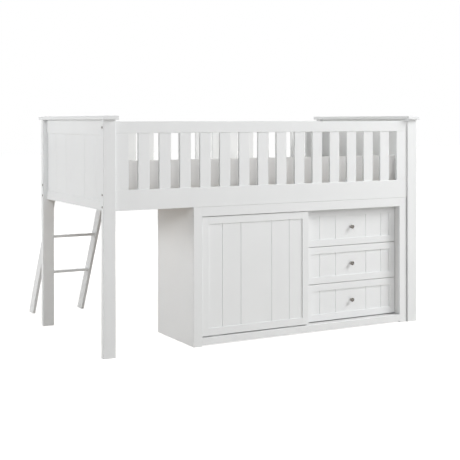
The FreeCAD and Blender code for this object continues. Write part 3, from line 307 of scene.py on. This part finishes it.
def bare_pine(name, grain):
    """Return planed softwood with growth rings, fibres and scattered knots."""
    looks = settings().finishes
    material, tree, shader = blank(name)
    along = place(tree, GRAIN_SCALE[grain])
    across = {"x": "Y", "y": "X"}[grain]
    rings = add(tree, "TexWave", {"Vector": along, "Scale": 16.0, "Distortion": 9.0, "Detail": 3.0,
                                  "Detail Scale": 1.6, "Detail Roughness": 0.6},
                bands_direction=across, wave_profile="SAW").outputs[0]
    fibre = noise(tree, along, scale=420.0, detail=4.0)
    late_wood = spread(tree, rings, low=0.0, high=0.8, from_low=0.35, from_high=1.0)
    wood = tint(tree, late_wood, tuple(looks.pine_pale), tuple(looks.pine_dark))
    wood = tint(tree, spread(tree, fibre, low=0.0, high=0.22), wood, tuple(looks.pine_dark))
    flat = place(tree, tuple(max(scale, 0.5) for scale in GRAIN_SCALE[grain]))
    cells = add(tree, "TexVoronoi", {"Vector": flat, "Scale": 5.0}).outputs["Distance"]
    knot = spread(tree, cells, low=1.0, high=0.0, from_low=0.03, from_high=0.09)
    tree.links.new(tint(tree, knot, wood, tuple(looks.pine_knot)), shader.inputs["Base Color"])
    tree.links.new(spread(tree, fibre, low=0.5, high=0.66), shader.inputs["Roughness"])
    emboss(tree, shader, [(fibre, 0.00006), (rings, 0.00004)])
    return material


def zinc_steel(name):
    """Return zinc-plated steel with a faint spangle."""
    looks = settings().finishes
    material, tree, shader = blank(name)
    coords = place(tree)
    base = tuple(looks.zinc)
    spangle = add(tree, "TexVoronoi", {"Vector": coords, "Scale": 320.0}).outputs["Color"]
    cells = add(tree, "SeparateColor", {"Color": spangle}).outputs[0]
    tree.links.new(tint(tree, cells, dimmed(base, 0.88), base), shader.inputs["Base Color"])
    gloss = spread(tree, cells, low=0.3, high=0.42, from_low=0.0, from_high=1.0)
    tree.links.new(gloss, shader.inputs["Roughness"])
    shader.inputs["Metallic"].default_value = 1.0
    emboss(tree, shader, [(noise(tree, coords, scale=1500.0), 0.00001)])
    return material


def bronze_steel(name):
    """Return dark bronze plating, a little uneven as it comes from the bath."""
    looks = settings().finishes
    material, tree, shader = blank(name)
    coords = place(tree)
    base = tuple(looks.bronze)
    patina = spread(tree, noise(tree, coords, scale=260.0, detail=4.0), low=0.0, high=1.0)
    tree.links.new(tint(tree, patina, base, dimmed(base, 1.6)), shader.inputs["Base Color"])
    gloss = spread(tree, patina, low=0.36, high=0.5, from_low=0.0, from_high=1.0)
    tree.links.new(gloss, shader.inputs["Roughness"])
    shader.inputs["Metallic"].default_value = 0.8
    emboss(tree, shader, [(noise(tree, coords, scale=1800.0), 0.00001)])
    return material


def polished_nickel(name):
    """Return polished dark nickel with faint handling marks."""
    looks = settings().finishes
    material, tree, shader = blank(name)
    coords = place(tree)
    base = tuple(looks.nickel)
    marks = noise(tree, coords, scale=160.0, detail=5.0)
    smudge = spread(tree, marks, low=0.0, high=1.0)
    tree.links.new(tint(tree, smudge, dimmed(base, 0.9), base), shader.inputs["Base Color"])
    tree.links.new(spread(tree, marks, low=0.12, high=0.24), shader.inputs["Roughness"])
    shader.inputs["Metallic"].default_value = 1.0
    emboss(tree, shader, [(noise(tree, coords, scale=2400.0), 0.000004)])
    return material


def moulded_plastic(name):
    """Return white moulded plastic with a fine spark texture."""
    looks = settings().finishes
    material, tree, shader = blank(name)
    coords = place(tree)
    base = tuple(looks.plastic)
    cloud = spread(tree, noise(tree, coords, scale=14.0, detail=3.0), low=0.0, high=1.0)
    tree.links.new(tint(tree, cloud, dimmed(base, 0.96), base), shader.inputs["Base Color"])
    gloss = spread(tree, cloud, low=0.38, high=0.5, from_low=0.0, from_high=1.0)
    tree.links.new(gloss, shader.inputs["Roughness"])
    emboss(tree, shader, [(noise(tree, coords, scale=1100.0), 0.00002)])
    return material


def waves(tree, coords, axis, scale):
    """Return ribs across one axis; a scale of 1 draws about three ribs in a metre."""
    inputs = {"Vector": coords, "Scale": scale}
    return add(tree, "TexWave", inputs, bands_direction=axis, wave_profile="SIN").outputs[0]


def knitted_cover(name):
    """Return the mattress cover: a fine knit with heathered yarn and a soft sheen."""
    looks = settings().mattress
    material, tree, shader = blank(name)
    coords = place(tree)
    base = tuple(looks.cloth)
    flecks = noise(tree, place(tree, (1, 1, 0.3)), scale=700.0)
    heather = spread(tree, flecks, low=0.0, high=1.0)
    cloud = spread(tree, noise(tree, coords, scale=7.0, detail=3.0), low=0.0, high=1.0)
    yarn = tint(tree, heather, dimmed(base, 0.93), base)
    tree.links.new(tint(tree, cloud, yarn, dimmed(base, 0.985)), shader.inputs["Base Color"])
    shader.inputs["Roughness"].default_value = 0.92
    shader.inputs["Sheen Weight"].default_value = 0.25
    shader.inputs["Sheen Roughness"].default_value = 0.5
    ribs = [waves(tree, coords, axis, KNIT_SCALE) for axis in "XYZ"]
    knit = add(tree, "Math", {0: ribs[0], 1: ribs[1]}, operation="ADD").outputs[0]
    knit = add(tree, "Math", {0: knit, 1: ribs[2]}, operation="ADD").outputs[0]
    emboss(tree, shader, [(knit, 0.00006), (heather, 0.00004)])
    return material


# Mattress

def cover_blank(mesh, low, high):
    """Fill a mesh with the cover before it swells, and return the seams round its top and bottom.

    The cover is a grid of quads with round corners and edges. A seam is the ring of points beside an edge.
    """
    looks = settings().mattress
    size = high - low
    middle = (low + high) / 2
    bm = bmesh.new()
    bmesh.ops.create_cube(bm, size=1.0, matrix=Matrix.Translation(middle) @ Matrix.Diagonal((*size, 1)))
    for axis in range(3):
        edges = [e for e in bm.edges if abs((e.verts[0].co - e.verts[1].co)[axis]) > size[axis] / 2]
        cuts = max(1, round(size[axis] / looks.quad)) - 1
        bmesh.ops.subdivide_edges(bm, edges=edges, cuts=cuts, use_grid_fill=True)
    bm.verts.index_update()
    seams = {"top": seam_ring(bm, high.z), "bottom": seam_ring(bm, low.z)}
    for vert in bm.verts:
        round_corner(vert.co, middle, size / 2, looks.corner)
        round_edge(vert.co, middle, size / 2, looks.corner, looks.edge)
    bmesh.ops.recalc_face_normals(bm, faces=bm.faces)
    bm.to_mesh(mesh)
    bm.free()
    return seams


def seam_ring(bm, height):
    """Return the indices of the ring of points one quad inside the edge of a flat side."""
    flat = {vert for vert in bm.verts if abs(vert.co.z - height) < LEVEL_WITHIN}
    edge = {vert for vert in flat if any(not flat.issuperset(face.verts) for face in vert.link_faces)}
    beside = {link.other_vert(vert) for vert in edge for link in vert.link_edges}
    return [vert.index for vert in (beside & flat) - edge]


def round_corner(point, middle, half, radius):
    """Draw a point of the square corner onto the round one."""
    reach = [abs(point[axis] - middle[axis]) - (half[axis] - radius) for axis in (0, 1)]
    if min(reach) <= 0:
        return
    pull = max(reach) / math.hypot(*reach)
    for axis in (0, 1):
        sign = math.copysign(1, point[axis] - middle[axis])
        point[axis] = middle[axis] + sign * (half[axis] - radius + reach[axis] * pull)


def round_edge(point, middle, half, corner, radius):
    """Draw a point of the square edge round the top or the bottom onto the round one."""
    out = point - middle
    reach = [max(0.0, abs(out[axis]) - (half[axis] - corner)) for axis in (0, 1)]
    depth = corner - math.hypot(*reach)
    drop = half.z - abs(out.z)
    if min(reach) <= 0:
        depth = min(half[axis] - abs(out[axis]) for axis in (0, 1))
        reach = [float(half[axis] - abs(out[axis]) == depth) for axis in (0, 1)]
    near = radius - depth
    low = radius - drop
    if min(near, low) <= 0:
        return
    pull = 1 - max(near, low) / math.hypot(near, low)
    inward = near * pull / math.hypot(*reach)
    for axis in (0, 1):
        point[axis] -= math.copysign(reach[axis] * inward, out[axis])
    point.z -= math.copysign(low * pull, out.z)


def swell(cover, low, high):
    """Swell the cover with cloth and keep the result, capped, inside the mattress's own space."""
    looks = settings().mattress
    held = cover.vertex_groups.new(name="held")
    start = [vert.co.copy() for vert in cover.data.vertices]
    bottom = min(point.z for point in start)
    base = [index for index, point in enumerate(start) if point.z < bottom + HELD_WITHIN]
    held.add(base, 1.0, "REPLACE")
    cloth = cover.modifiers.new("cover", "CLOTH")
    cloth.settings.quality = 6
    cloth.settings.mass = 0.4
    cloth.settings.use_pressure = True
    cloth.settings.uniform_pressure_force = looks.pressure
    cloth.settings.effector_weights.gravity = 0
    cloth.settings.vertex_group_mass = held.name
    cloth.point_cache.frame_end = looks.steps
    scene = bpy.context.scene
    for step in range(1, looks.steps + 1):
        scene.frame_set(step)
    swollen = cover.evaluated_get(bpy.context.evaluated_depsgraph_get()).to_mesh()
    for vert, moved, point in zip(cover.data.vertices, swollen.vertices, start):
        shift = moved.co - point
        if shift.length > looks.swell:
            shift *= looks.swell / shift.length
        vert.co = [min(max(value, a), b) for value, a, b in zip(point + shift, low, high)]
    cover.modifiers.remove(cloth)
    cover.vertex_groups.remove(held)
    scene.frame_set(1)


def seam_points(cover, seam):
    """Return the points of a seam in order round the mattress."""
    points = [cover.data.vertices[index].co.copy() for index in seam]
    middle = sum(points, Vector()) / len(points)
    return sorted(points, key=lambda point: math.atan2(point.y - middle.y, point.x - middle.x))


def edge_tape(name, points, radius):
    """Return the tape sewn round one edge of the mattress."""
    curve = bpy.data.curves.new(name, "CURVE")
    curve.dimensions = "3D"
    curve.bevel_depth = radius
    curve.bevel_resolution = 3
    spline = curve.splines.new("POLY")
    spline.points.add(len(points) - 1)
    for target, point in zip(spline.points, points):
        target.co = (*point, 1)
    spline.use_cyclic_u = True
    guide = bpy.data.objects.new(name + "_guide", curve)
    bpy.context.collection.objects.link(guide)
    mesh = bpy.data.meshes.new_from_object(guide.evaluated_get(bpy.context.evaluated_depsgraph_get()))
    bpy.data.objects.remove(guide)
    bpy.data.curves.remove(curve)
    return link(name, mesh)


def link(name, mesh):
    """Return a new smooth-shaded object for a mesh."""
    mesh.name = name
    mesh.shade_smooth()
    made = bpy.data.objects.new(name, mesh)
    bpy.context.collection.objects.link(made)
    return made


# Studio

def aim(obj, target):
    """Turn an object so that its -Z axis points at a target."""
    obj.rotation_euler = (Vector(target) - obj.location).to_track_quat("-Z", "Y").to_euler()


def soft_lamp(name, location, target, size, watts):
    """Add a square soft lamp."""
    lamp = bpy.data.lights.new(name, "AREA")
    lamp.size = size
    lamp.energy = watts
    made = bpy.data.objects.new(name, lamp)
    made.location = location
    bpy.context.collection.objects.link(made)
    aim(made, target)


def seen_directly(tree):
    """Return 1 for rays that come from the camera, a mirror or glass."""
    path = add(tree, "LightPath").outputs
    both = add(tree, "Math", {0: path["Is Camera Ray"], 1: path["Is Glossy Ray"]}, operation="ADD")
    rays = {0: both.outputs[0], 1: path["Is Transmission Ray"]}
    return add(tree, "Math", rays, operation="ADD", use_clamp=True).outputs[0]


def white_world(strength):
    """Light the studio evenly, with a white background behind the object."""
    world = bpy.data.worlds.new("studio")
    world.use_nodes = True
    tree = world.node_tree
    light = add(tree, "Background", {"Color": (1, 1, 1, 1), "Strength": strength}).outputs[0]
    white = add(tree, "Background", {"Color": (1, 1, 1, 1), "Strength": 1.0}).outputs[0]
    both = add(tree, "MixShader", {0: seen_directly(tree), 1: light, 2: white}).outputs[0]
    tree.links.new(both, tree.nodes["World Output"].inputs["Surface"])
    bpy.context.scene.world = world


def pale_floor():
    """Lay a plain pale floor that keeps the object's shadow."""
    looks = settings().studio
    material, tree, shader = blank("studio_floor")
    shader.inputs["Base Color"].default_value = (*looks.floor, 1)
    shader.inputs["Roughness"].default_value = 0.95
    shader.inputs["Specular IOR Level"].default_value = 0.0
    shader.inputs["Emission Color"].default_value = (1, 1, 1, 1)
    distance = add(tree, "VectorMath", {0: place(tree)}, operation="LENGTH").outputs["Value"]
    lift = spread(tree, distance, looks.floor_lift, 1.0, looks.floor_near, looks.floor_far)
    glow = add(tree, "Math", {0: lift, 1: seen_directly(tree)}, operation="MULTIPLY").outputs[0]
    tree.links.new(glow, shader.inputs["Emission Strength"])
    mesh = bpy.data.meshes.new("studio_floor")
    bm = bmesh.new()
    below = Matrix.Translation((0, 0, -FLOOR_DROP))
    bmesh.ops.create_grid(bm, x_segments=1, y_segments=1, size=FLOOR_REACH, matrix=below)
    bm.to_mesh(mesh)
    bm.free()
    floor = link("studio_floor", mesh)
    mesh.materials.append(material)


# Operators

class LOFTBED_OT_painted_pieces(Operator):
    """Paint the timber and the outer boards satin white, and the mattress board in a paler copy of the
    paint, which is painted light that brightens the board where it gets too little light
    """
    bl_idname = "loft_bed.painted_pieces"
    bl_label = "Paint the timber and boards"

    def execute(self, context):
        looks = settings().finishes
        finish_nodes(nodes_of("white_paint"), satin_paint("satin_paint_on_board", looks.paint))
        # Painted light: the mattress board gets the paler copy of the paint so that it looks more brightly
        # lit
        finish_nodes(["mattress_board"], satin_paint("pale_paint_on_board", looks.painted_light_paint))
        for grain, nodes in GRAIN_ALONG.items():
            finish_nodes(nodes, satin_paint(f"satin_paint_on_timber_{grain}", looks.paint, grain))
        return {"FINISHED"}


class LOFTBED_OT_inner_boards(Operator):
    """Face the cabinet's inner boards and the drawer boxes matt white"""
    bl_idname = "loft_bed.inner_boards"
    bl_label = "Face the inner boards"

    def execute(self, context):
        finish_nodes(nodes_of("white_board"), faced_board("matt_white_board"))
        return {"FINISHED"}


class LOFTBED_OT_pine_pieces(Operator):
    """Give the bed slats, ledges and drawer runners bare softwood"""
    bl_idname = "loft_bed.pine_pieces"
    bl_label = "Finish the softwood"

    def execute(self, context):
        for grain, nodes in PINE_ALONG.items():
            finish_nodes(nodes, bare_pine(f"planed_pine_{grain}", grain))
        return {"FINISHED"}


class LOFTBED_OT_metal_pieces(Operator):
    """Plate the hooks, screws and pins with zinc, the bolts with bronze and the knobs with nickel"""
    bl_idname = "loft_bed.metal_pieces"
    bl_label = "Plate the metal"

    def execute(self, context):
        finish_nodes(nodes_of("zinc_steel"), zinc_steel("zinc_plated_steel"))
        finish_nodes(nodes_of("bronze_steel"), bronze_steel("bronze_plated_steel"))
        finish_nodes(nodes_of("knob_metal"), polished_nickel("polished_dark_nickel"))
        return {"FINISHED"}


class LOFTBED_OT_door_track(Operator):
    """Mould the door's track and glides in white plastic"""
    bl_idname = "loft_bed.door_track"
    bl_label = "Mould the door's track"

    def execute(self, context):
        finish_nodes(nodes_of("track_plastic"), moulded_plastic("white_track_plastic"))
        return {"FINISHED"}


class LOFTBED_OT_mattress(Operator):
    """Sew the mattress: a swollen cover with a tape round each edge"""
    bl_idname = "loft_bed.mattress"
    bl_label = "Sew the mattress"

    def execute(self, context):
        looks = settings().mattress
        low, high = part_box("mattress")
        tuck = Vector((looks.tuck, looks.tuck, 0))
        mesh = bpy.data.meshes.new("mattress_cover")
        seams = cover_blank(mesh, low + tuck, high - tuck - Vector((0, 0, looks.tuck)))
        cover = link("mattress_cover", mesh)
        swell(cover, low, high)
        fabric = knitted_cover("knitted_mattress_cover")
        for side, seam in seams.items():
            tape = edge_tape(f"mattress_{side}_tape", seam_points(cover, seam), looks.tape)
            tape.data.materials.append(fabric)
            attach(tape, "bed_frame")
        mesh.materials.append(fabric)
        smooth = cover.modifiers.new("smooth", "SUBSURF")
        smooth.levels = smooth.render_levels = 1
        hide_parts("mattress")
        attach(cover, "bed_frame")
        return {"FINISHED"}


class LOFTBED_OT_studio(Operator):
    """Set up the floor, the lamps and the camera"""
    bl_idname = "loft_bed.studio"
    bl_label = "Set up the studio"

    def execute(self, context):
        looks = settings().studio
        context.scene.view_settings.view_transform = "Standard"
        pale_floor()
        white_world(looks.sky)
        for name, (location, target, size) in LAMPS.items():
            soft_lamp(f"{name}_lamp", location, target, size, getattr(looks, name))
        camera = bpy.data.cameras.new("camera")
        camera.lens = looks.lens
        camera.sensor_width = 36.0
        camera.shift_y = looks.drop
        stand = bpy.data.objects.new("camera", camera)
        stand.location = looks.camera
        stand.rotation_euler = (math.pi / 2, looks.roll, -looks.turn)
        context.collection.objects.link(stand)
        context.scene.camera = stand
        return {"FINISHED"}


class LOFTBED_PT_sidebar(Panel):
    """Lists the bed's operators and settings"""
    bl_idname = "LOFTBED_PT_sidebar"
    bl_label = "Loft Bed"
    bl_space_type = "VIEW_3D"
    bl_region_type = "UI"
    bl_category = "Loft Bed"

    def draw(self, context):
        for operator in OPERATORS:
            self.layout.operator(operator.bl_idname)
        for group in (settings().finishes, settings().mattress, settings().studio):
            for name in group.__annotations__:
                self.layout.prop(group, name)


GROUPS = (LOFTBED_PG_finishes, LOFTBED_PG_mattress, LOFTBED_PG_studio, LOFTBED_PG_settings)
OPERATORS = (LOFTBED_OT_painted_pieces, LOFTBED_OT_inner_boards, LOFTBED_OT_pine_pieces,
             LOFTBED_OT_metal_pieces, LOFTBED_OT_door_track, LOFTBED_OT_mattress, LOFTBED_OT_studio)
CLASSES = (*GROUPS, *OPERATORS, LOFTBED_PT_sidebar)


def register():
    """Register the classes and the scene's settings."""
    for cls in CLASSES:
        bpy.utils.register_class(cls)
    bpy.types.Scene.loft_bed = PointerProperty(type=LOFTBED_PG_settings)


def unregister():
    """Remove the settings and the classes."""
    del bpy.types.Scene.loft_bed
    for cls in reversed(CLASSES):
        bpy.utils.unregister_class(cls)


def main():
    """Finish the whole bed."""
    register()
    for operator in OPERATORS:
        getattr(bpy.ops.loft_bed, operator.bl_idname.split(".")[1])()


if __name__ == "__main__":
    main()
